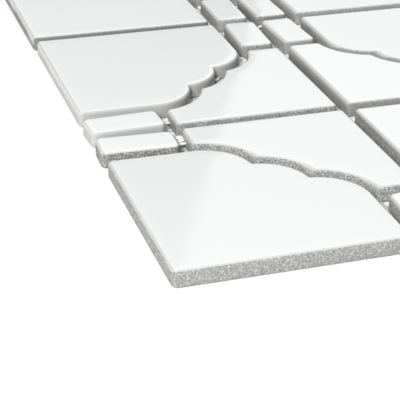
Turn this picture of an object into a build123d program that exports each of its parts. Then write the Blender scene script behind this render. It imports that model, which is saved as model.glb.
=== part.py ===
from build123d import *
import math
import os

# One sheet of glazed porcelain mosaic, laid flat on its net, face up.
# Millimetres, +Z up. The origin is at the middle of the sheet's underside.

# The pattern repeats both ways. A repeat is four mirrored cells, and a cell holds one lobed tile
# in its outer corner, one scalloped tile in its inner corner and two bars between them.
periods = 2
joint = 3.2
lobed_side = 59.2
bar_length = 21.6
bar_width = 10.6

# Three equal lobes cross the inner corner of the lobed tile. `lobe_start` is how far along
# the tile's side the first of them begins.
lobe_radius = 13.0
lobe_start = 23.2

# The fired tile: its thickness, how much its upright edges are nipped, and its glazed upper edge,
# which falls `edge_drop` over `edge_width`.
tile_thickness = 4.4
corner_nip = 0.6
edge_width = 0.9
edge_drop = 0.45

# Laid by hand: how far a tile strays from its place, and the degrees that a bar is turned.
# The direction of stray goes round by `lay_step` degrees from one tile to the next.
lay_shift = 0.3
lay_start = -60
lay_step = 212
bar_turn = 2.5

# The net has flat yarns in two layers, and the tiles are stuck on the upper one.
net_pitch = 5.0
yarn_width = 0.7
yarn_thickness = 0.2
net_margin = 1.5

cell = lobed_side + bar_width + 2 * joint
cells = 2 * periods
period = 2 * cell
half_joint = joint / 2
sheet_side = periods * period - joint
tile_seat = 2 * yarn_thickness

# A cell's own axes run from its outer corner into it. The four mirrored cells of a period differ
# by quarter turns, because each is the same on both sides of its diagonal.
x_axis_of_cell = {(0, 0): (1, 0, 0), (1, 0): (0, 1, 0), (1, 1): (-1, 0, 0), (0, 1): (0, -1, 0)}

near = half_joint
lobed_far = near + lobed_side
scalloped_near = near + bar_length + joint
scalloped_side = cell - half_joint - scalloped_near
first_lobe = (near + lobe_start, lobed_far - lobe_radius)
last_lobe = (lobed_far - lobe_radius, near + lobe_start)
middle_lobe = ((first_lobe[0] + last_lobe[0]) / 2, (first_lobe[1] + last_lobe[1]) / 2)
lobes = [first_lobe, middle_lobe, last_lobe]

# Straight sides of the lobed tile, closed through the centres of its lobes
square_corners = [(near, near), (lobed_far, near), (near, lobed_far)]
core = [(near, near), (lobed_far, near), (lobed_far, last_lobe[1]), *reversed(lobes)]
core += [(first_lobe[0], lobed_far), (near, lobed_far)]


def cell_plane(column, row, number):
    """Plane at the tiles' seat, at a cell's outer corner, for tile `number` of the sheet."""
    stray = math.radians(lay_start + lay_step * number)
    x = (column + 1) // 2 * period - periods * cell + lay_shift * math.cos(stray)
    y = (row + 1) // 2 * period - periods * cell + lay_shift * math.sin(stray)
    return Plane(origin=(x, y, tile_seat), x_dir=x_axis_of_cell[column % 2, row % 2])


def ease_upper_edges():
    """Bevel the upper edges of each solid of the piece being built."""
    for upper_face in faces().group_by(Axis.Z)[-1]:
        chamfer(upper_face.edges(), edge_width, edge_drop, reference=upper_face)


os.makedirs("parts", exist_ok=True)

# Lobed tiles: a square whose inner corner is cut back to three lobes
for row in range(cells):
    for column in range(cells):
        with BuildPart() as lobed_tile:
            with BuildSketch(cell_plane(column, row, row * cells + column)):
                with BuildLine():
                    Polyline(*core, close=True)
                make_face()
                chamfer([vertices().sort_by_distance(corner)[0] for corner in square_corners], corner_nip)
                with Locations(*lobes):
                    Circle(lobe_radius)
            extrude(amount=tile_thickness)
            ease_upper_edges()
        lobed_tile.part.label = f"lobed_tile_r{row + 1}_c{column + 1}"
        export_step(lobed_tile.part, f"parts/{lobed_tile.part.label}.step")

# Scalloped tiles: the rest of each cell, a joint away from the lobes, four around a crossing
for period_row in range(periods):
    for period_column in range(periods):
        with BuildPart() as scalloped_four:
            for row in (2 * period_row, 2 * period_row + 1):
                for column in (2 * period_column, 2 * period_column + 1):
                    with BuildSketch(cell_plane(column, row, (row + cells) * cells + column)):
                        with Locations((scalloped_near, scalloped_near)):
                            Rectangle(scalloped_side, scalloped_side, align=(Align.MIN, Align.MIN))
                        with Locations(*lobes):
                            Circle(lobe_radius + joint, mode=Mode.SUBTRACT)
                        with BuildLine():
                            Polyline(*core, close=True)
                        make_face(mode=Mode.SUBTRACT)
            extrude(amount=tile_thickness)
            chamfer(edges().filter_by(Axis.Z), corner_nip)
            ease_upper_edges()
        scalloped_four.part.label = f"scalloped_four_r{period_row + 1}_c{period_column + 1}"
        export_step(scalloped_four.part, f"parts/{scalloped_four.part.label}.step")

# Bars: two side by side, between two lobed tiles that face each other across a period
for lobed_row in range(cells):
    for period_middle in range(periods):
        for along in ("x", "y"):
            number = 2 * (lobed_row * periods + period_middle) + (along == "y")
            inward = -1 if lobed_row % 2 else 1
            run = (lobed_row + 1) // 2 * period - periods * cell + inward * (near + bar_length / 2)
            across = (2 * period_middle + 1 - periods) * cell
            centre = (run, across, tile_seat) if along == "x" else (across, run, tile_seat)
            direction = (inward, 0, 0) if along == "x" else (0, inward, 0)
            turn = bar_turn * math.cos(math.radians(lay_step * number))
            with BuildPart() as bar_pair:
                with BuildSketch(Plane(origin=centre, x_dir=direction)):
                    with Locations((0, -half_joint - bar_width / 2)):
                        Rectangle(bar_length, bar_width, rotation=-turn)
                    with Locations((0, half_joint + bar_width / 2)):
                        Rectangle(bar_length, bar_width, rotation=turn)
                extrude(amount=tile_thickness)
                chamfer(edges().filter_by(Axis.Z), corner_nip)
                ease_upper_edges()
            bar_pair.part.label = f"bar_pair_{along}{lobed_row + 1}_{period_middle + 1}"
            export_step(bar_pair.part, f"parts/{bar_pair.part.label}.step")

# Net: yarns across the sheet, and yarns along it laid over them
net_side = sheet_side - 2 * net_margin
yarns = int((net_side - yarn_width) / net_pitch) + 1
with BuildPart() as net_cross_yarns:
    with BuildSketch():
        with GridLocations(0, net_pitch, 1, yarns):
            Rectangle(net_side, yarn_width)
    extrude(amount=yarn_thickness)
net_cross_yarns.part.label = "net_cross_yarns"
export_step(net_cross_yarns.part, "parts/net_cross_yarns.step")

with BuildPart() as net_long_yarns:
    with BuildSketch(Plane.XY.offset(yarn_thickness)):
        with GridLocations(net_pitch, 0, yarns, 1):
            Rectangle(yarn_width, net_side)
    extrude(amount=yarn_thickness)
net_long_yarns.part.label = "net_long_yarns"
export_step(net_long_yarns.part, "parts/net_long_yarns.step")

print(f"sheet {sheet_side:.1f} mm square, bars {bar_length} x {bar_width:.1f}, {yarns} yarns each way")
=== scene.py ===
import math
import random

import bmesh
import bpy
from bpy.props import FloatProperty, FloatVectorProperty, IntProperty, PointerProperty
from mathutils import Matrix, Vector


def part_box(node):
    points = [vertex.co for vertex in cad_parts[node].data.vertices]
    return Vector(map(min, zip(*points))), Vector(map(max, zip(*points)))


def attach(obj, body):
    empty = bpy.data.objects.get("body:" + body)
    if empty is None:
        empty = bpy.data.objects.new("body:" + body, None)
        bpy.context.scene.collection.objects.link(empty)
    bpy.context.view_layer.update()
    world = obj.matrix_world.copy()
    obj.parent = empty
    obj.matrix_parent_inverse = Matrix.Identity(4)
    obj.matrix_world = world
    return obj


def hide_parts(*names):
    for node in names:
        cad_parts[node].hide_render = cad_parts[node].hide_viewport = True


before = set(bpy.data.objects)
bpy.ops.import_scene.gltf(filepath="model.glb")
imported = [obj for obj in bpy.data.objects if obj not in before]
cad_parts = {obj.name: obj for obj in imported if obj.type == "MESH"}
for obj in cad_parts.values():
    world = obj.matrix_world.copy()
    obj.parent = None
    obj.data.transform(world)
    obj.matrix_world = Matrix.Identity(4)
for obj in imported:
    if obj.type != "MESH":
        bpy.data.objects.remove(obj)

bl_info = {
    "name": "Porcelain mosaic sheet",
    "version": (1, 0, 0),
    "blender": (4, 5, 0),
    "location": "3D View > Sidebar > Mosaic",
    "description": "Glazed porcelain tiles with lobed corners, laid on a glass-fibre net",
    "category": "Object",
}

# Lengths are in metres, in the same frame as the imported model, whose nodes give every place.
MM = 0.001
BODY = "root"
PERIODS = 2
CELLS = 2 * PERIODS

# What sets one tile apart, and the span it is drawn from: how white the glaze is, how grainy and
# how pale the body is, and about how many millimetres the glaze runs down the sides facing -X
LOOK_SPANS = {"tone": (0.4, 0.9), "grainy": (0.1, 0.6), "pale": (0.0, 0.4), "run": (0.8, 3.0)}

# The tiles whose looks are set instead of drawn, in the order of the spans
LOOKS = {
    "lobed_tile_r1_c1": (0.18, 0.5, 0.28, 0.6),
    "lobed_tile_r2_c1": (0.72, 0.05, 0.76, 3.0),
    "lobed_tile_r3_c1": (1.1, 0.15, 0.0, 3.0),
    "scalloped_r1_c1": (0.32, 0.75, 0.34, 2.9),
    "scalloped_r2_c1": (0.52, 0.65, 0.22, 1.2),
    "scalloped_r1_c2": (0.7, 0.6, 0.3, 0.9),
    "scalloped_r2_c2": (0.85, 0.25, 0.2, 2.8),
    "bar_x1_1_near": (1.05, 0.8, 0.06, 1.0),
    "bar_x1_1_far": (1.05, 0.05, 0.8, 2.0),
    "bar_y1_1_near": (0.7, 0.6, 0.6, 0.8),
}

# Strands of glue seen in the joints: where each lies, in millimetres from the sheet's middle,
# the degrees that it is turned from X, its length and width, and how far it is raised off the net
STRANDS = (
    (-127.4, -77.4, 5, 4.4, 1.4, 1.5), (-127.3, -78.8, -6, 4.6, 1.4, 1.8),
    (-127.4, -80.2, 9, 4.4, 1.4, 1.6), (-127.3, -81.6, -3, 4.4, 1.4, 1.4),
    (-127.2, -65.4, 12, 4.2, 1.3, 1.3), (-127.0, -66.8, -4, 4.2, 1.3, 1.2),
    (-115.4, -50.6, 80, 3.4, 1.1, 0.5), (-102.2, -38.2, 45, 3.4, 1.1, 0.5),
    (-90.0, -24.3, 10, 3.6, 1.1, 0.6), (-87.5, 24.8, 80, 3.4, 1.5, 0.8),
    (-73.1, 1.0, 20, 3.2, 1.6, 1.0), (-75.0, 0.2, 70, 3.0, 1.4, 0.7),
)
STRAND_HEIGHT = 0.6 * MM

# Beads of glue: the seed of their places and sizes, the spans of their width and length as shares,
# and of their height in millimetres, how deep they are pressed into the net, and how far they
# keep inside the sheet's edge
BEAD_SEED = 71
BEAD_WIDTHS = (0.5, 1.4)
BEAD_LENGTHS = (0.8, 2.6)
BEAD_HEIGHTS = (0.35, 0.75)
BEAD_PRESSED = 0.05 * MM
BEAD_INSIDE = 3.0 * MM

# Places this close in the plan are one place, vertices this close are one vertex, and the ends of
# repeated yarns are welded at this distance
SAME_PLACE = 0.02 * MM
SAME_VERTEX = 0.005 * MM
WELD_REACH = 0.01 * MM

# How finely the curves of a tile are divided, and the rounding of the cusps between them
LOBE_SEGMENTS = 14
SCALLOP_SEGMENTS = 12
ROUND_SEGMENTS = 5
WORN_SEGMENTS = 2
CUSP_ROUND = 0.35 * MM
SMOOTH_ANGLE = math.radians(40)

# Each ring of a tile's crown: how wide it is, and its share of the rise. The rings narrow towards
# a point on the tile's diagonal that sees the whole outline, at these shares of the tile's side.
CROWN_RINGS = ((0.35 * MM, 0.3), (0.8 * MM, 0.4), (1.6 * MM, 0.3), (0.8 * MM, 0.0))
LOBED_CROWN = 0.44
SCALLOPED_CROWN = 0.86

# How bright the glaze is at a whiteness of nought, and how much brighter at one
TONE_LOW = 0.93
TONE_STEP = 0.125

# The glaze's lower line: how far it ripples up and down and how softly it ends, and the uneven
# drape below it for each millimetre of a tile's run
GLAZE_RIPPLE = 0.04 * MM
GLAZE_FADE = 0.12 * MM
GLAZE_DRAPE = (0.6 * MM, 1.2 * MM)

# Depths of the relief in the body, in the glaze, at its lower line, and in net and glue
GRAIN_DEPTH = 0.05 * MM
WAVE_DEPTH = 0.012 * MM
LIP_DEPTH = 0.06 * MM
FINE_DEPTH = 0.05 * MM

net_low, net_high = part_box("net_cross_yarns")
upper_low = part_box("net_long_yarns")[0]
tile_low, tile_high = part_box("lobed_tile_r1_c1")


class MosaicTileSizes(bpy.types.PropertyGroup):
    """Sizes of the fired tiles"""

    joint: FloatProperty(
        name="Joint", description="Gap between two tiles", default=3.2 * MM, unit="LENGTH",
    )
    lobed_side: FloatProperty(
        name="Lobed tile", description="Side of the lobed tile's square",
        default=59.2 * MM, unit="LENGTH",
    )
    bar_length: FloatProperty(
        name="Bar length", description="Length of a bar", default=21.6 * MM, unit="LENGTH",
    )
    bar_width: FloatProperty(
        name="Bar width", description="Width of a bar", default=10.6 * MM, unit="LENGTH",
    )
    lobe_radius: FloatProperty(
        name="Lobe", description="Radius of the three lobes of a lobed tile",
        default=13.0 * MM, unit="LENGTH",
    )
    lobe_start: FloatProperty(
        name="Lobe start", description="Where the first lobe begins along the tile's side",
        default=23.2 * MM, unit="LENGTH",
    )
    corner: FloatProperty(
        name="Tile corner", description="Rounding of a tile's upright corners",
        default=1.3 * MM, unit="LENGTH",
    )
    bar_corner: FloatProperty(
        name="Bar corner", description="Rounding of a bar's upright corners",
        default=1.9 * MM, unit="LENGTH",
    )
    rim: FloatProperty(
        name="Rim", description="Rounding of the glazed upper edge",
        default=0.9 * MM, unit="LENGTH",
    )
    foot: FloatProperty(
        name="Foot", description="Wear on the lower edge", default=0.22 * MM, unit="LENGTH",
    )
    crown: FloatProperty(
        name="Crown", description="Rise of the glazed face from its rim",
        default=0.06 * MM, unit="LENGTH",
    )


class MosaicNetSizes(bpy.types.PropertyGroup):
    """Sizes of the backing net and its glue"""

    pitch: FloatProperty(
        name="Pitch", description="From one yarn to the next", default=5.0 * MM, unit="LENGTH",
    )
    yarn_width: FloatProperty(
        name="Yarn width", description="Width of a flat yarn", default=0.7 * MM, unit="LENGTH",
    )
    beads: IntProperty(
        name="Glue beads", description="Beads of glue squeezed into the joints",
        default=180, min=0,
    )
    bead: FloatProperty(
        name="Bead", description="Usual width of a glue bead", default=1.3 * MM, unit="LENGTH",
    )


class MosaicFinish(bpy.types.PropertyGroup):
    """Colours of the glaze, the fired body, the net and the glue"""

    glaze: FloatVectorProperty(
        name="Glaze", description="White gloss glaze",
        subtype="COLOR", size=4, default=(0.775, 0.785, 0.785, 1.0),
    )
    cool_glaze: FloatVectorProperty(
        name="Cool glaze", description="The cooler white that clouds the glaze",
        subtype="COLOR", size=4, default=(0.73, 0.75, 0.76, 1.0),
    )
    # Partly the body showing through thin glaze on the rim, partly painted shade that darkens
    # sloping rims and sides
    thin_glaze_and_painted_shade: FloatVectorProperty(
        name="Thin glaze", description="Glaze over the rim, where the body shows through it",
        subtype="COLOR", size=4, default=(0.48, 0.48, 0.47, 1.0),
    )
    glaze_line: FloatProperty(
        name="Glaze line", description="How far below the face the glaze ends",
        default=0.42 * MM, unit="LENGTH",
    )
    glaze_rough: FloatProperty(
        name="Glaze roughness", description="Roughness of the glaze", default=0.07,
    )
    body: FloatVectorProperty(
        name="Body", description="Unglazed porcelain at its palest",
        subtype="COLOR", size=4, default=(0.46, 0.46, 0.455, 1.0),
    )
    dark_body: FloatVectorProperty(
        name="Dark body", description="Unglazed porcelain at its darkest",
        subtype="COLOR", size=4, default=(0.17, 0.17, 0.163, 1.0),
    )
    body_rough: FloatProperty(
        name="Body roughness", description="Roughness of the body", default=0.72,
    )
    grain_dark: FloatVectorProperty(
        name="Dark grain", description="Dark grains in the body",
        subtype="COLOR", size=4, default=(0.08, 0.08, 0.076, 1.0),
    )
    grain_light: FloatVectorProperty(
        name="Light grain", description="Light grains in the body",
        subtype="COLOR", size=4, default=(0.74, 0.74, 0.73, 1.0),
    )
    grains: FloatProperty(
        name="Grains", description="Grains to a metre of the body", default=4000.0,
    )
    yarn: FloatVectorProperty(
        name="Yarn", description="Coated glass fibre",
        subtype="COLOR", size=4, default=(0.72, 0.72, 0.69, 1.0),
    )
    dull_yarn: FloatVectorProperty(
        name="Dull yarn", description="Darker flecks of the glass fibre",
        subtype="COLOR", size=4, default=(0.50, 0.50, 0.47, 1.0),
    )
    glue: FloatVectorProperty(
        name="Glue", description="Dried glue",
        subtype="COLOR", size=4, default=(0.86, 0.86, 0.83, 1.0),
    )
    pale_glue: FloatVectorProperty(
        name="Pale glue", description="The paler clouds in dried glue",
        subtype="COLOR", size=4, default=(0.94, 0.94, 0.92, 1.0),
    )


class MosaicStage(bpy.types.PropertyGroup):
    """The floor, the lights and the camera"""

    floor: FloatVectorProperty(
        name="Floor", description="Pale studio floor",
        subtype="COLOR", size=4, default=(0.96, 0.96, 0.96, 1.0),
    )
    floor_mottle: FloatVectorProperty(
        name="Floor mottle", description="Faint mottle of the floor",
        subtype="COLOR", size=4, default=(0.945, 0.945, 0.945, 1.0),
    )
    floor_side: FloatProperty(
        name="Floor side", description="Side of the square floor", default=8.0, unit="LENGTH",
    )
    sky: FloatProperty(
        name="Sky", description="Strength of the soft light all round", default=0.40,
    )
    key: FloatProperty(
        name="Key", description="Power of the light in front", default=49.5, subtype="POWER",
    )
    key_place: FloatVectorProperty(
        name="Key place", description="Where the light in front hangs, turned to the sheet",
        size=3, subtype="TRANSLATION", default=(-1.048, -1.342, 1.106),
    )
    key_size: FloatVectorProperty(
        name="Key size", description="Width and height of the light in front",
        size=2, unit="LENGTH", default=(0.6, 0.6),
    )
    panel: FloatProperty(
        name="Panel", description="Power of the panel behind", default=4.8, subtype="POWER",
    )
    panel_place: FloatVectorProperty(
        name="Panel place", description="Where the panel behind hangs",
        size=3, subtype="TRANSLATION", default=(1.075, 1.8, 1.245),
    )
    panel_turn: FloatVectorProperty(
        name="Panel turn", description="The Euler angles of the panel behind",
        size=3, subtype="EULER", default=(math.radians(-90.0), math.radians(-15.0), 0.0),
    )
    panel_size: FloatVectorProperty(
        name="Panel size", description="Width and height of the panel behind",
        size=2, unit="LENGTH", default=(1.2, 1.6),
    )
    lens: FloatProperty(
        name="Lens", description="Focal length in millimetres", default=118.04,
    )
    sensor: FloatProperty(
        name="Sensor", description="Width of the sensor in millimetres", default=36.0,
    )
    camera_place: FloatVectorProperty(
        name="Camera", description="Where the camera stands",
        size=3, subtype="TRANSLATION", default=(-0.22454, -0.39116, 0.15437),
    )
    camera_turn: FloatVectorProperty(
        name="Camera turn", description="The camera's Euler angles", size=3, subtype="EULER",
        default=(math.radians(62.384), math.radians(-1.012), math.radians(-17.884)),
    )


# Helpers for modelling

def deselect_all():
    """Object mode, and nothing selected or active."""
    if bpy.context.mode != "OBJECT":
        bpy.ops.object.mode_set(mode="OBJECT")
    bpy.ops.object.select_all(action="DESELECT")
    bpy.context.view_layer.objects.active = None


def only(piece):
    """Select this piece alone and make it active."""
    deselect_all()
    piece.select_set(True)
    bpy.context.view_layer.objects.active = piece


def pick(kind, test):
    """In edit mode, select the vertices, edges or faces that pass the test."""
    mesh = bmesh.from_edit_mesh(bpy.context.object.data)
    bpy.ops.mesh.select_mode(type={"verts": "VERT", "edges": "EDGE", "faces": "FACE"}[kind])
    bpy.ops.mesh.select_all(action="DESELECT")
    found = [element for element in getattr(mesh, kind) if test(element)]
    for element in found:
        element.select_set(True)
    mesh.select_flush_mode()
    bmesh.update_edit_mesh(bpy.context.object.data)
    if not found:
        raise RuntimeError(f"{bpy.context.object.name}: nothing to select among its {kind}")


def at(*points):
    """A test for a vertex at one of these places in the plan."""
    places = [Vector(point) for point in points]
    return lambda vertex: any((vertex.co.xy - place).length < SAME_PLACE for place in places)


def level(height):
    """A test for an edge that lies at a height."""
    return lambda edge: all(abs(vertex.co.z - height) < SAME_VERTEX for vertex in edge.verts)


def step(x=0.0, y=0.0, z=0.0):
    """How far an extrusion moves, as its operator takes it."""
    return {"value": (x, y, z)}


def round_off(radius, segments, affect):
    """Round the selected edges or upright corners."""
    bpy.ops.mesh.bevel(
        offset_type="OFFSET", offset=radius, segments=segments, profile=0.5, affect=affect
    )


def cusp(first, second, radius, side):
    """Where two circles of one radius cross, on the side that the vector points to."""
    middle = (first + second) / 2
    half = (second - first).length / 2
    across = Vector((first.y - second.y, second.x - first.x)).normalized()
    if across.dot(side) < 0:
        across.negate()
    return middle + across * math.sqrt(radius**2 - half**2)


def angle_between(centre, start, end):
    """The signed angle from start to end about a centre."""
    a, b = start - centre, end - centre
    return math.atan2(a.x * b.y - a.y * b.x, a.dot(b))


def draw_arc(centre, start, end, segments):
    """Spin the selected vertex from start to end, and leave the new end selected."""
    turn = angle_between(centre, start, end)
    bpy.ops.mesh.spin(
        steps=segments, angle=-turn, center=(*centre, tile_low.z), axis=(0.0, 0.0, 1.0)
    )
    pick("verts", at(end))


def crown_face(piece, rise, middle):
    """Raise the glazed face in rings that narrow towards its middle."""
    pick("faces", lambda face: face.normal.z > 0.999)
    mesh = bmesh.from_edit_mesh(piece.data)
    face = next(face for face in mesh.faces if face.select)
    centre = (*middle, tile_high.z)
    spans = [max(v.co[i] for v in face.verts) - min(v.co[i] for v in face.verts) for i in (0, 1)]
    for width, share in CROWN_RINGS:
        scale = [1 - 2 * width / span for span in spans]
        bpy.ops.mesh.extrude_region_move(TRANSFORM_OT_translate=step(z=share * rise))
        bpy.ops.transform.resize(value=(*scale, 1.0), center_override=centre)


def raise_tile(piece, corners, corner_round, cusps, middle, sizes):
    """From a flat outline to a fired tile: corners rounded, sides raised, rim, foot and crown."""
    height = tile_high.z - tile_low.z - sizes.crown
    bpy.ops.mesh.select_all(action="SELECT")
    bpy.ops.mesh.remove_doubles(threshold=SAME_VERTEX)
    bpy.ops.mesh.edge_face_add()
    pick("verts", at(*corners))
    round_off(corner_round, ROUND_SEGMENTS, "VERTICES")
    if cusps:
        pick("verts", at(*cusps))
        round_off(CUSP_ROUND, WORN_SEGMENTS, "VERTICES")
    bpy.ops.mesh.select_mode(type="FACE")
    bpy.ops.mesh.select_all(action="SELECT")
    bpy.ops.mesh.extrude_region_move(TRANSFORM_OT_translate=step(z=height))
    bpy.ops.mesh.select_all(action="SELECT")
    bpy.ops.mesh.normals_make_consistent(inside=False)
    pick("edges", level(tile_low.z + height))
    round_off(sizes.rim, ROUND_SEGMENTS, "EDGES")
    pick("edges", level(tile_low.z))
    round_off(sizes.foot, WORN_SEGMENTS, "EDGES")
    crown_face(piece, sizes.crown, middle)
    bpy.ops.object.mode_set(mode="OBJECT")
    bpy.ops.object.shade_smooth_by_angle(angle=SMOOTH_ANGLE)


def flat_outline(name, width, depth, centre):
    """A plane at its size and place, in edit mode."""
    deselect_all()
    bpy.ops.mesh.primitive_plane_add(size=1.0, location=(*centre, tile_low.z))
    piece = bpy.context.object
    piece.name = name
    piece.scale = (width, depth, 1.0)
    bpy.ops.object.transform_apply(location=True, rotation=True, scale=True)
    bpy.ops.object.mode_set(mode="EDIT")
    return piece


def open_outline(corner):
    """Take away the outline's face and one of its corners."""
    bpy.ops.mesh.select_all(action="SELECT")
    bpy.ops.mesh.delete(type="ONLY_FACE")
    pick("verts", at(corner))
    bpy.ops.mesh.delete(type="VERT")


def scalloped_far(sizes):
    """How far a scalloped tile reaches from its cell's outer corner, along X and along Y."""
    return sizes.lobed_side + sizes.bar_width + 1.5 * sizes.joint


def lobe_centres(sizes):
    """Centres of the three lobes, from the far side of the lobed tile round to its right."""
    near = sizes.joint / 2
    far = near + sizes.lobed_side
    first = Vector((near + sizes.lobe_start, far - sizes.lobe_radius))
    last = Vector((first.y, first.x))
    return [first, (first + last) / 2, last]


def three_arcs(centres, radius, start, end, segments):
    """Draw the outline's three arcs from the selected vertex at start, and return the two cusps."""
    outward = Vector((1.0, 1.0))
    stops = [
        start,
        cusp(centres[0], centres[1], radius, outward),
        cusp(centres[1], centres[2], radius, outward),
        end,
    ]
    for centre, first, last in zip(centres, stops, stops[1:]):
        draw_arc(centre, first, last, segments)
    return stops[1:3]


def model_lobed_tile(sizes):
    """One lobed tile, with its cell's outer corner at the origin."""
    near = sizes.joint / 2
    side = sizes.lobed_side
    far = near + side
    middle = (near + far) / 2
    piece = flat_outline("lobed_tile_model", side, side, (middle, middle))
    open_outline((far, far))
    centres = lobe_centres(sizes)
    start = Vector((centres[0].x, far))
    end = Vector((far, centres[2].y))
    pick("verts", at((near, far)))
    bpy.ops.mesh.extrude_vertices_move(TRANSFORM_OT_translate=step(x=start.x - near))
    cusps = three_arcs(centres, sizes.lobe_radius, start, end, LOBE_SEGMENTS)
    bpy.ops.mesh.extrude_vertices_move(TRANSFORM_OT_translate=step(y=near - end.y))
    crown = near + LOBED_CROWN * side
    corners = [(near, near), (far, near), (near, far)]
    raise_tile(piece, corners, sizes.corner, cusps, (crown, crown), sizes)
    return piece


def model_scalloped_tile(sizes):
    """One scalloped tile, which goes round the lobes a joint away from them."""
    low = sizes.joint / 2 + sizes.bar_length + sizes.joint
    high = scalloped_far(sizes)
    middle = (low + high) / 2
    side = high - low
    piece = flat_outline("scalloped_tile_model", side, side, (middle, middle))
    open_outline((low, low))
    centres = lobe_centres(sizes)
    radius = sizes.lobe_radius + sizes.joint
    beside = low - centres[0].x
    start = Vector((low, centres[0].y + math.sqrt(radius**2 - beside**2)))
    end = Vector((start.y, start.x))
    pick("verts", at((low, high)))
    bpy.ops.mesh.extrude_vertices_move(TRANSFORM_OT_translate=step(y=start.y - high))
    cusps = three_arcs(centres, radius, start, end, SCALLOP_SEGMENTS)
    bpy.ops.mesh.extrude_vertices_move(TRANSFORM_OT_translate=step(x=high - end.x))
    crown = low + SCALLOPED_CROWN * side
    corners = [(high, high), (low, high), (high, low), start, end]
    raise_tile(piece, corners, sizes.corner, cusps, (crown, crown), sizes)
    return piece


def model_bar(sizes):
    """One bar, along X, with its middle at the origin."""
    piece = flat_outline("bar_model", sizes.bar_length, sizes.bar_width, (0.0, 0.0))
    x, y = sizes.bar_length / 2, sizes.bar_width / 2
    corners = [(-x, -y), (x, -y), (x, y), (-x, y)]
    raise_tile(piece, corners, sizes.bar_corner, [], (0.0, 0.0), sizes)
    return piece


def own_copy(model, name):
    """A copy of a model with its own mesh."""
    piece = model.copy()
    piece.data = model.data.copy()
    piece.name = name
    piece.data.name = name
    bpy.context.scene.collection.objects.link(piece)
    return piece


def copy_of(model, name, place):
    """A copy of a model put in place, with its own looks."""
    piece = own_copy(model, name)
    piece.data.transform(place)
    draw = random.Random(name)
    drawn = [draw.uniform(*span) for span in LOOK_SPANS.values()]
    for trait, value in zip(LOOK_SPANS, LOOKS.get(name, drawn)):
        layer = piece.data.attributes.new(trait, "FLOAT", "POINT")
        layer.data.foreach_set("value", [value] * len(piece.data.vertices))
    return piece


def join_as(name, pieces):
    """Join copies into one piece."""
    deselect_all()
    for piece in pieces:
        piece.select_set(True)
    bpy.context.view_layer.objects.active = pieces[0]
    if len(pieces) > 1:
        bpy.ops.object.join()
    pieces[0].name = name
    return pieces[0]


def finish_piece(piece, nodes, material):
    """Give a piece its one material, and say what it replaces, rides on and is made of."""
    piece.data.materials.clear()
    piece.data.materials.append(material)
    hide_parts(*nodes)
    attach(piece, BODY)


def remove_model(model):
    """Take a model away once its copies are made."""
    mesh = model.data
    bpy.data.objects.remove(model)
    bpy.data.meshes.remove(mesh)


def laid(x, y, turn):
    """Where a tile lies: turned about Z, then moved in the plan."""
    return Matrix.Translation((x, y, 0.0)) @ Matrix.Rotation(turn, 4, "Z")


def cell_turn(column, row):
    """The angle that a cell is turned by, from its place in its period."""
    quarters = {(0, 0): 0, (1, 0): 1, (1, 1): 2, (0, 1): 3}[column % 2, row % 2]
    return quarters * math.pi / 2


def side_of(axis, place, beyond):
    """A test for a point beyond a place on an axis, or before it."""
    return lambda point: point[axis] > place if beyond else point[axis] < place


def middle_of(node):
    """The middle of a node's box."""
    low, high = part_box(node)
    return (low + high) / 2


def box_where(node, tests):
    """The box of those vertices of a node that pass every test."""
    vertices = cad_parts[node].data.vertices
    points = [v.co for v in vertices if all(test(v.co) for test in tests)]
    low = Vector([min(p[i] for p in points) for i in range(3)])
    high = Vector([max(p[i] for p in points) for i in range(3)])
    return low, high


# Shader helpers

def new_material(name):
    """A material with nodes, its tree and its shader."""
    material = bpy.data.materials.new(name)
    material.use_nodes = True
    tree = material.node_tree
    return material, tree, tree.nodes["Principled BSDF"]


def add_node(tree, kind, place, **values):
    """Add a node, with its settings."""
    node = tree.nodes.new(kind)
    node.location = place
    for key, value in values.items():
        setattr(node, key, value)
    return node


def feed(tree, socket, value):
    """Link an output to a socket, or set the socket to a number or a colour."""
    if isinstance(value, bpy.types.NodeSocket):
        tree.links.new(value, socket)
    elif isinstance(value, (int, float)):
        socket.default_value = value
    else:
        socket.default_value = tuple(value)


def attribute(tree, name, place):
    """One of the values that set a tile apart."""
    return add_node(tree, "ShaderNodeAttribute", place, attribute_name=name).outputs["Fac"]


def split(tree, vector, place):
    """The X, Y and Z of a vector."""
    axes = add_node(tree, "ShaderNodeSeparateXYZ", place)
    tree.links.new(vector, axes.inputs[0])
    return axes.outputs


def math_node(tree, operation, first, second, place, clamp=False):
    """A sum on two values."""
    node = add_node(tree, "ShaderNodeMath", place, operation=operation, use_clamp=clamp)
    feed(tree, node.inputs[0], first)
    feed(tree, node.inputs[1], second)
    return node.outputs[0]


def mix_colour(tree, factor, first, second, place):
    """From the first colour to the second."""
    node = add_node(tree, "ShaderNodeMix", place, data_type="RGBA")
    for index, value in ((0, factor), (6, first), (7, second)):
        feed(tree, node.inputs[index], value)
    return node.outputs[2]


def mix_value(tree, factor, first, second, place):
    """From the first value to the second."""
    node = add_node(tree, "ShaderNodeMix", place, data_type="FLOAT")
    for index, value in ((0, factor), (2, first), (3, second)):
        feed(tree, node.inputs[index], value)
    return node.outputs[0]


def noise(tree, vector, place, scale, detail, roughness):
    """Noise, with its scale to a metre."""
    node = add_node(tree, "ShaderNodeTexNoise", place)
    settings = {"Vector": vector, "Scale": scale, "Detail": detail, "Roughness": roughness}
    for key, value in settings.items():
        feed(tree, node.inputs[key], value)
    return node.outputs["Fac"]


def remap(tree, value, span, to_span, place):
    """Turn one span of values smoothly into another."""
    node = add_node(tree, "ShaderNodeMapRange", place, interpolation_type="SMOOTHSTEP")
    for socket, given in zip(node.inputs, (value, *span, *to_span)):
        feed(tree, socket, given)
    return node.outputs[0]


def add_bump(tree, shader, height, place, strength, distance):
    """Relief from a height."""
    bump = add_node(tree, "ShaderNodeBump", place)
    for key, value in {"Height": height, "Strength": strength, "Distance": distance}.items():
        feed(tree, bump.inputs[key], value)
    tree.links.new(bump.outputs[0], shader.inputs["Normal"])


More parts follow.
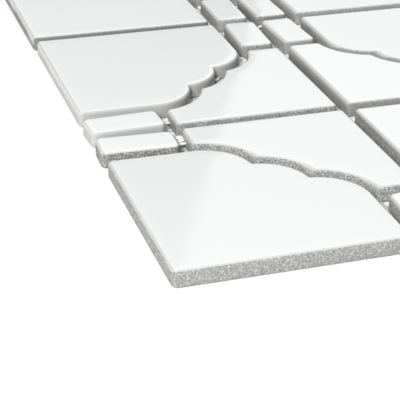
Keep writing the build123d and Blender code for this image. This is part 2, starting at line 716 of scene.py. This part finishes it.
def plan_direction(tree, normal):
    """How far a side faces +X in the plan, from -1 to 1, whatever its slope."""
    flat = add_node(tree, "ShaderNodeVectorMath", (-1700, -450), operation="MULTIPLY")
    flat.inputs[1].default_value = (1.0, 1.0, 0.0)
    tree.links.new(normal, flat.inputs[0])
    unit = add_node(tree, "ShaderNodeVectorMath", (-1600, -450), operation="NORMALIZE")
    tree.links.new(flat.outputs[0], unit.inputs[0])
    return split(tree, unit.outputs[0], (-1500, -450))[0]


def grain_group():
    """Fine grains: a mask of dark ones, a mask of light ones and a height."""
    group = bpy.data.node_groups.get("Fine grain")
    if group:
        return group
    group = bpy.data.node_groups.new("Fine grain", "ShaderNodeTree")
    sockets = group.interface
    sockets.new_socket("Vector", in_out="INPUT", socket_type="NodeSocketVector")
    sockets.new_socket("Grains per metre", in_out="INPUT", socket_type="NodeSocketFloat")
    for name in ("Dark", "Light", "Height"):
        sockets.new_socket(name, in_out="OUTPUT", socket_type="NodeSocketFloat")
    spot, grains = add_node(group, "NodeGroupInput", (-900, 0)).outputs[0:2]
    dark, light, height = add_node(group, "NodeGroupOutput", (600, 0)).inputs[0:3]
    fine = noise(group, spot, (-600, 200), scale=grains, detail=3.0, roughness=0.65)
    coarse_grains = math_node(group, "MULTIPLY", grains, 0.55, (-750, -200))
    coarse = noise(group, spot, (-600, -100), scale=coarse_grains, detail=2.0, roughness=0.6)
    both = math_node(group, "ADD", fine, coarse, (-350, 50))
    group.links.new(remap(group, both, (0.97, 0.80), (0.0, 1.0), (-100, 200)), dark)
    group.links.new(remap(group, both, (1.06, 1.22), (0.0, 1.0), (-100, -50)), light)
    group.links.new(both, height)
    return group


# Materials

def material_named(name, build):
    """A material of the sheet, built the first time that it is wanted."""
    return bpy.data.materials.get(name) or build(name, bpy.context.scene.mosaic_finish)


def porcelain_material(name, finish):
    """White gloss glaze that ends in an uneven line over the light grey, grainy body."""
    material, tree, shader = new_material(name)
    where = add_node(tree, "ShaderNodeTexCoord", (-1800, 0))
    spot, normal = where.outputs["Object"], where.outputs["Normal"]
    height = split(tree, spot, (-1600, -200))[2]
    steepness = split(tree, normal, (-1350, 50))[2]

    # The glaze runs further down the sides that face -X
    left = remap(tree, plan_direction(tree, normal), (-0.80, -0.98), (0.0, 1.0), (-1350, -450))
    uneven = noise(tree, spot, (-1350, -700), scale=60.0, detail=2.0, roughness=0.5)
    uneven = remap(tree, uneven, (0.35, 0.7), GLAZE_DRAPE, (-1100, -700))
    run = math_node(tree, "MULTIPLY", uneven, attribute(tree, "run", (-1350, -600)), (-1000, -700))
    drape = math_node(tree, "MULTIPLY", left, run, (-900, -600))

    # Its lower line ripples, and fades out over the drape
    ripple = noise(tree, spot, (-1350, -950), scale=1100.0, detail=2.0, roughness=0.6)
    ripple = remap(tree, ripple, (0.3, 0.7), (-GLAZE_RIPPLE, GLAZE_RIPPLE), (-1100, -950))
    line = math_node(tree, "SUBTRACT", height, tile_high.z - finish.glaze_line, (-700, -500))
    rippled = math_node(tree, "ADD", line, ripple, (-550, -600))
    draped = math_node(tree, "ADD", rippled, drape, (-550, -400))
    fade = math_node(tree, "ADD", drape, GLAZE_FADE, (-550, -250))
    glazed = math_node(tree, "DIVIDE", draped, fade, (-300, -400), clamp=True)

    # Body: paler or darker from tile to tile, with more grains or fewer
    grainy = attribute(tree, "grainy", (-1350, 800))
    grain = add_node(tree, "ShaderNodeGroup", (-1000, 600), node_tree=grain_group())
    feed(tree, grain.inputs[0], spot)
    feed(tree, grain.inputs[1], finish.grains)
    dark = math_node(tree, "MULTIPLY", grain.outputs[0], grainy, (-800, 700))
    light = math_node(tree, "MULTIPLY", grain.outputs[1], grainy, (-800, 550))
    pale = attribute(tree, "pale", (-1350, 1000))
    body = mix_colour(tree, pale, finish.dark_body, finish.body, (-800, 850))
    body = mix_colour(tree, dark, body, finish.grain_dark, (-600, 600))
    body = mix_colour(tree, light, body, finish.grain_light, (-400, 600))

    # Glaze: each tile its own brightness, and slow clouds of a cooler white
    bright = attribute(tree, "tone", (-1350, 250))
    bright = math_node(tree, "MULTIPLY", bright, TONE_STEP, (-1250, 300))
    bright = math_node(tree, "ADD", bright, TONE_LOW, (-1100, 300))
    white = add_node(tree, "ShaderNodeHueSaturation", (-800, 350))
    feed(tree, white.inputs["Color"], finish.glaze)
    feed(tree, white.inputs["Value"], bright)
    cool = noise(tree, spot, (-1350, 450), scale=26.0, detail=1.0, roughness=0.4)
    cool = remap(tree, cool, (0.3, 0.7), (0.0, 0.10), (-1000, 450))
    glaze = mix_colour(tree, cool, white.outputs[0], finish.cool_glaze, (-500, 350))

    # It is thin where it rolls over the rim, and the body shows through; this greying by slope is
    # also painted shade, darkening the rims and sides that the key light makes brighter than the
    # face
    thinning_and_painted_shade = remap(tree, steepness, (0.9985, 0.90), (0.0, 0.9), (-1100, 50))
    glaze = mix_colour(tree, thinning_and_painted_shade, glaze, finish.thin_glaze_and_painted_shade, (-300, 350))

    colour = mix_colour(tree, glazed, body, glaze, (-50, 300))
    tree.links.new(colour, shader.inputs["Base Color"])
    rough = mix_value(tree, glazed, finish.body_rough, finish.glaze_rough, (-50, 50))
    tree.links.new(rough, shader.inputs["Roughness"])

    # Relief: grain in the body, the faint waves of a fired glaze, and the step at its line
    grain_relief = math_node(tree, "MULTIPLY", grain.outputs[2], GRAIN_DEPTH, (-500, -900))
    wave = noise(tree, spot, (-700, -900), scale=120.0, detail=2.0, roughness=0.45)
    wave_relief = math_node(tree, "MULTIPLY", wave, WAVE_DEPTH, (-500, -1050))
    relief = mix_value(tree, glazed, grain_relief, wave_relief, (-300, -950))
    lip = math_node(tree, "MULTIPLY", glazed, LIP_DEPTH, (-300, -1100))
    relief = math_node(tree, "ADD", relief, lip, (-100, -1000))
    add_bump(tree, shader, relief, (100, -800), strength=1.0, distance=1.0)
    return material


def yarn_material(name, finish):
    """Coated glass fibre: fine filaments along the yarn, and a dull sheen."""
    material, tree, shader = new_material(name)
    spot = add_node(tree, "ShaderNodeTexCoord", (-1200, 0)).outputs["Object"]
    fleck = noise(tree, spot, (-900, 100), scale=500.0, detail=2.0, roughness=0.6)
    fleck = remap(tree, fleck, (0.3, 0.7), (0.0, 0.35), (-600, 100))
    colour = mix_colour(tree, fleck, finish.yarn, finish.dull_yarn, (-350, 100))
    tree.links.new(colour, shader.inputs["Base Color"])
    threads = noise(tree, spot, (-900, -150), scale=3500.0, detail=2.0, roughness=0.6)
    rough = remap(tree, threads, (0.3, 0.7), (0.38, 0.6), (-350, -100))
    tree.links.new(rough, shader.inputs["Roughness"])
    add_bump(tree, shader, threads, (-150, -250), strength=0.8, distance=FINE_DEPTH)
    return material


def glue_material(name, finish):
    """Dried glue: whitish, a little cloudy, half glossy."""
    material, tree, shader = new_material(name)
    spot = add_node(tree, "ShaderNodeTexCoord", (-1200, 0)).outputs["Object"]
    cloud = noise(tree, spot, (-900, 100), scale=700.0, detail=2.0, roughness=0.5)
    colour = mix_colour(tree, cloud, finish.glue, finish.pale_glue, (-500, 100))
    tree.links.new(colour, shader.inputs["Base Color"])
    rough = remap(tree, cloud, (0.3, 0.7), (0.16, 0.34), (-500, -100))
    tree.links.new(rough, shader.inputs["Roughness"])
    add_bump(tree, shader, cloud, (-250, -250), strength=0.5, distance=FINE_DEPTH)
    return material


def floor_material(name, stage):
    """Pale matt floor with a very faint mottle."""
    material, tree, shader = new_material(name)
    spot = add_node(tree, "ShaderNodeTexCoord", (-1200, 0)).outputs["Object"]
    mottle = noise(tree, spot, (-900, 100), scale=9.0, detail=2.0, roughness=0.5)
    mottle = remap(tree, mottle, (0.3, 0.7), (0.0, 0.3), (-700, 100))
    colour = mix_colour(tree, mottle, stage.floor, stage.floor_mottle, (-400, 100))
    tree.links.new(colour, shader.inputs["Base Color"])
    shader.inputs["Roughness"].default_value = 0.85
    return material


# Operators

class MOSAIC_OT_lobed_tiles(bpy.types.Operator):
    """Model the lobed tile and lay its sixteen copies"""

    bl_idname = "mosaic.lobed_tiles"
    bl_label = "Lobed tiles"

    def execute(self, context):
        sizes = context.scene.mosaic_tiles
        porcelain = material_named("glaze_over_body", porcelain_material)
        model = model_lobed_tile(sizes)
        near = sizes.joint / 2
        for row in range(CELLS):
            for column in range(CELLS):
                node = f"lobed_tile_r{row + 1}_c{column + 1}"
                low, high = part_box(node)
                x = high.x + near if column % 2 else low.x - near
                y = high.y + near if row % 2 else low.y - near
                tile = copy_of(model, node, laid(x, y, cell_turn(column, row)))
                piece = join_as(f"glazed_{node}", [tile])
                finish_piece(piece, [node], porcelain)
        remove_model(model)
        return {"FINISHED"}


class MOSAIC_OT_scalloped_tiles(bpy.types.Operator):
    """Model the scalloped tile and lay its copies, four around each crossing"""

    bl_idname = "mosaic.scalloped_tiles"
    bl_label = "Scalloped tiles"

    def execute(self, context):
        sizes = context.scene.mosaic_tiles
        porcelain = material_named("glaze_over_body", porcelain_material)
        model = model_scalloped_tile(sizes)
        reach = scalloped_far(sizes)
        for period_row in range(PERIODS):
            for period_column in range(PERIODS):
                node = f"scalloped_four_r{period_row + 1}_c{period_column + 1}"
                middle = middle_of(node)
                tiles = []
                for row in (2 * period_row, 2 * period_row + 1):
                    for column in (2 * period_column, 2 * period_column + 1):
                        right, back = column % 2 == 1, row % 2 == 1
                        tests = [side_of(0, middle.x, right), side_of(1, middle.y, back)]
                        low, high = box_where(node, tests)
                        x = low.x + reach if right else high.x - reach
                        y = low.y + reach if back else high.y - reach
                        place = laid(x, y, cell_turn(column, row))
                        name = f"scalloped_r{row + 1}_c{column + 1}"
                        tiles.append(copy_of(model, name, place))
                piece = join_as(f"glazed_{node}", tiles)
                finish_piece(piece, [node], porcelain)
        remove_model(model)
        return {"FINISHED"}


class MOSAIC_OT_bars(bpy.types.Operator):
    """Model the bar and lay its copies in pairs"""

    bl_idname = "mosaic.bars"
    bl_label = "Bars"

    def execute(self, context):
        porcelain = material_named("glaze_over_body", porcelain_material)
        model = model_bar(context.scene.mosaic_tiles)
        for lobed_row in range(CELLS):
            for period_middle in range(PERIODS):
                for along in ("x", "y"):
                    pair = f"{along}{lobed_row + 1}_{period_middle + 1}"
                    node = f"bar_pair_{pair}"
                    across = 1 if along == "x" else 0
                    middle = middle_of(node)
                    bars = []
                    for end, beyond in (("near", False), ("far", True)):
                        side = side_of(across, middle[across], beyond)
                        low, high = box_where(node, [side])
                        centre = (low + high) / 2
                        place = laid(centre.x, centre.y, self.long_side_angle(node, side, along))
                        bars.append(copy_of(model, f"bar_{pair}_{end}", place))
                    piece = join_as(f"glazed_{node}", bars)
                    finish_piece(piece, [node], porcelain)
        remove_model(model)
        return {"FINISHED"}

    def long_side_angle(self, node, side, along):
        """The angle of a bar, from the upright long face of its solid."""
        across = Vector((0.0, 1.0, 0.0)) if along == "x" else Vector((-1.0, 0.0, 0.0))
        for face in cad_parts[node].data.polygons:
            upright = abs(face.normal.z) < 0.01
            if upright and side(face.center) and face.normal.dot(across) > 0.99:
                return math.atan2(-face.normal.x, face.normal.y)
        raise RuntimeError(f"{node}: no long side found")


class MOSAIC_OT_net(bpy.types.Operator):
    """Weave the backing net, its yarns along X and along Y passing over each other in turn"""

    bl_idname = "mosaic.net"
    bl_label = "Backing net"

    def execute(self, context):
        net = context.scene.mosaic_net
        material = material_named("glass_fibre", yarn_material)
        yarns = round((net_high.y - net_low.y - net.yarn_width) / net.pitch) + 1
        thickness = net_high.z - net_low.z
        first_place = net_low.y + net.yarn_width / 2
        two_yarns = [
            self.model_yarn(net, thickness, yarns, first_place + phase * net.pitch, phase)
            for phase in (0, 1)
        ]
        weave = join_as("net_weave", two_yarns)
        self.repeat(weave, yarns // 2, (0.0, 2 * net.pitch, 0.0))
        bpy.ops.object.shade_smooth()
        long_yarns = own_copy(weave, "long_weave")
        long_yarns.data.transform(Matrix.Rotation(math.pi / 2, 4, "Z"))
        for piece, node in ((weave, "net_cross_yarns"), (long_yarns, "net_long_yarns")):
            piece.name = f"woven_{node}"
            piece.data.name = piece.name
            finish_piece(piece, [node], material)
        return {"FINISHED"}

    def repeat(self, piece, count, offset):
        """Repeat a piece along an offset, and weld the copies where they meet."""
        only(piece)
        copies = piece.modifiers.new("copies", "ARRAY")
        copies.count = count
        copies.use_relative_offset = False
        copies.use_constant_offset = True
        copies.constant_offset_displace = offset
        copies.use_merge_vertices = True
        copies.merge_threshold = WELD_REACH
        bpy.ops.object.modifier_apply(modifier=copies.name)

    def model_yarn(self, net, thickness, yarns, across, phase):
        """One flat yarn along X that passes over and under, trimmed to the net's length."""
        start = net_low.y + net.yarn_width / 2 - net.pitch
        sway = thickness / 2
        sign = 1.0 if phase == 0 else -1.0
        deselect_all()
        bpy.ops.mesh.primitive_circle_add(
            vertices=6, radius=0.5, fill_type="NOTHING", rotation=(0.0, math.pi / 2, 0.0),
            location=(start, across, upper_low.z + sign * sway),
        )
        yarn = bpy.context.object
        yarn.name = f"yarn_{phase}"
        yarn.scale = (thickness, net.yarn_width, 1.0)
        bpy.ops.object.transform_apply(location=True, rotation=True, scale=True)
        bpy.ops.object.mode_set(mode="EDIT")
        bpy.ops.mesh.select_mode(type="EDGE")
        bpy.ops.mesh.select_all(action="SELECT")
        for rise in (-sign, -sign, sign, sign):
            half_pitch = step(x=net.pitch / 2, z=rise * sway)
            bpy.ops.mesh.extrude_region_move(TRANSFORM_OT_translate=half_pitch)
        self.repeat(yarn, yarns // 2 + 1, (2 * net.pitch, 0.0, 0.0))
        bpy.ops.object.mode_set(mode="EDIT")
        for place, outward in ((net_low.x, -1.0), (net_high.x, 1.0)):
            bpy.ops.mesh.select_all(action="SELECT")
            bpy.ops.mesh.bisect(
                plane_co=(place, 0.0, 0.0), plane_no=(outward, 0.0, 0.0),
                use_fill=True, clear_outer=True,
            )
        bpy.ops.mesh.select_all(action="SELECT")
        bpy.ops.mesh.normals_make_consistent(inside=False)
        bpy.ops.object.mode_set(mode="OBJECT")
        return yarn


class MOSAIC_OT_glue(bpy.types.Operator):
    """Squeeze beads of glue into the joints, on the net"""

    bl_idname = "mosaic.glue"
    bl_label = "Glue beads"

    def execute(self, context):
        net = context.scene.mosaic_net
        sizes = context.scene.mosaic_tiles
        draw = random.Random(BEAD_SEED)
        deselect_all()
        bpy.ops.mesh.primitive_uv_sphere_add(segments=10, ring_count=6, radius=0.5)
        model = bpy.context.object
        model.name = "bead_model"
        bpy.ops.object.shade_smooth()
        beads = []
        for number, (x, y, turned, length, width, raised) in enumerate(STRANDS):
            size = (length * MM, width * MM, STRAND_HEIGHT)
            place = self.lying(x * MM, y * MM, math.radians(turned), size, raised * MM)
            beads.append(copy_of(model, f"strand_{number}", place))
        for number in range(net.beads):
            x, y = self.spot_in_joint(draw, sizes)
            wide = net.bead * draw.uniform(*BEAD_WIDTHS)
            size = (wide * draw.uniform(*BEAD_LENGTHS), wide, draw.uniform(*BEAD_HEIGHTS) * MM)
            place = self.lying(x, y, draw.uniform(0.0, math.pi), size, -BEAD_PRESSED)
            beads.append(copy_of(model, f"bead_{number}", place))
        piece = join_as("glue_beads", beads)
        piece.data.materials.clear()
        piece.data.materials.append(material_named("dried_glue", glue_material))
        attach(piece, BODY)
        remove_model(model)
        return {"FINISHED"}

    def spot_in_joint(self, draw, sizes):
        """A spot drawn in a joint of a cell: beside its bars, or on the next cell's border."""
        cell = sizes.lobed_side + sizes.bar_width + 2 * sizes.joint
        half_joint = sizes.joint / 2
        column, row = draw.randrange(CELLS), draw.randrange(CELLS)
        past_lobed = half_joint + sizes.lobed_side + half_joint
        past_bar = half_joint + sizes.bar_length + half_joint
        inside = half_joint + BEAD_INSIDE
        along, across = draw.choice((
            (draw.uniform(inside, cell), cell),
            (draw.uniform(inside, past_bar), past_lobed),
            (draw.uniform(past_lobed, cell), past_bar),
        ))
        across += draw.uniform(-0.5, 0.5) * sizes.joint
        spot = (along, across) if draw.random() < 0.5 else (across, along)
        corner = [((k + 1) // 2 * 2 - PERIODS) * cell for k in (column, row)]
        return [c + (-d if k % 2 else d) for c, d, k in zip(corner, spot, (column, row))]

    def lying(self, x, y, turned, size, raised):
        """Where a bead of this size lies, and how far it is raised off the net."""
        return (
            Matrix.Translation((x, y, upper_low.z + size[2] / 2 + raised))
            @ Matrix.Rotation(turned, 4, "Z")
            @ Matrix.Diagonal((*size, 1.0))
        )


class MOSAIC_OT_stage(bpy.types.Operator):
    """Lay the floor, hang the lights and set up the camera"""

    bl_idname = "mosaic.stage"
    bl_label = "Stage"

    def execute(self, context):
        stage = context.scene.mosaic_stage
        deselect_all()
        bpy.ops.mesh.primitive_plane_add(size=stage.floor_side, location=(0.0, 0.0, 0.0))
        floor = context.object
        floor.name = "studio_floor"
        floor.data.materials.append(floor_material("studio_floor", stage))

        world = bpy.data.worlds.new("studio")
        world.use_nodes = True
        sky = world.node_tree.nodes["Background"]
        sky.inputs["Color"].default_value = (1.0, 1.0, 1.0, 1.0)
        sky.inputs["Strength"].default_value = stage.sky
        context.scene.world = world

        towards_sheet = -Vector(stage.key_place)
        key_turn = towards_sheet.to_track_quat("-Z", "Y").to_euler()
        self.soft_light("key_light", stage.key_place, key_turn, stage.key_size, stage.key)
        self.soft_light(
            "panel_light", stage.panel_place, stage.panel_turn, stage.panel_size, stage.panel
        )

        lens = bpy.data.cameras.new("camera")
        lens.sensor_width = stage.sensor
        lens.sensor_fit = "HORIZONTAL"
        lens.lens = stage.lens
        lens.clip_start = 0.01
        camera = bpy.data.objects.new("camera", lens)
        camera.location = stage.camera_place
        camera.rotation_euler = stage.camera_turn
        context.scene.collection.objects.link(camera)
        context.scene.camera = camera
        context.scene.view_settings.view_transform = "Standard"
        context.scene.view_settings.look = "None"
        context.scene.view_settings.exposure = 0.0
        return {"FINISHED"}

    def soft_light(self, name, place, turn, size, power):
        """Hang an oblong light that the camera doesn't see."""
        light = bpy.data.lights.new(name, "AREA")
        light.shape = "RECTANGLE"
        light.size, light.size_y = size
        light.energy = power
        lamp = bpy.data.objects.new(name, light)
        lamp.location = place
        lamp.rotation_euler = turn
        lamp.visible_camera = False
        bpy.context.scene.collection.objects.link(lamp)


class MOSAIC_PT_sheet(bpy.types.Panel):
    """Mosaic sheet in the sidebar"""

    bl_idname = "MOSAIC_PT_sheet"
    bl_label = "Mosaic sheet"
    bl_space_type = "VIEW_3D"
    bl_region_type = "UI"
    bl_category = "Mosaic"

    def draw(self, context):
        for scene_key in GROUPS:
            group = getattr(context.scene, scene_key)
            box = self.layout.box()
            for key in group.__annotations__:
                box.prop(group, key)
        for operator in OPERATORS:
            self.layout.operator(operator.bl_idname)


GROUPS = {
    "mosaic_tiles": MosaicTileSizes,
    "mosaic_net": MosaicNetSizes,
    "mosaic_finish": MosaicFinish,
    "mosaic_stage": MosaicStage,
}
OPERATORS = (
    MOSAIC_OT_lobed_tiles,
    MOSAIC_OT_scalloped_tiles,
    MOSAIC_OT_bars,
    MOSAIC_OT_net,
    MOSAIC_OT_glue,
    MOSAIC_OT_stage,
)


def register():
    """Add the classes, and a group of settings of each kind to the scene."""
    for cls in (*GROUPS.values(), *OPERATORS, MOSAIC_PT_sheet):
        bpy.utils.register_class(cls)
    for key, cls in GROUPS.items():
        setattr(bpy.types.Scene, key, PointerProperty(type=cls))


def unregister():
    """Take away what register added."""
    for key in GROUPS:
        delattr(bpy.types.Scene, key)
    for cls in reversed((*GROUPS.values(), *OPERATORS, MOSAIC_PT_sheet)):
        bpy.utils.unregister_class(cls)


def main():
    """Build every piece and the stage."""
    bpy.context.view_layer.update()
    register()
    bpy.ops.mosaic.lobed_tiles()
    bpy.ops.mosaic.scalloped_tiles()
    bpy.ops.mosaic.bars()
    bpy.ops.mosaic.net()
    bpy.ops.mosaic.glue()
    bpy.ops.mosaic.stage()


if __name__ == "__main__":
    main()
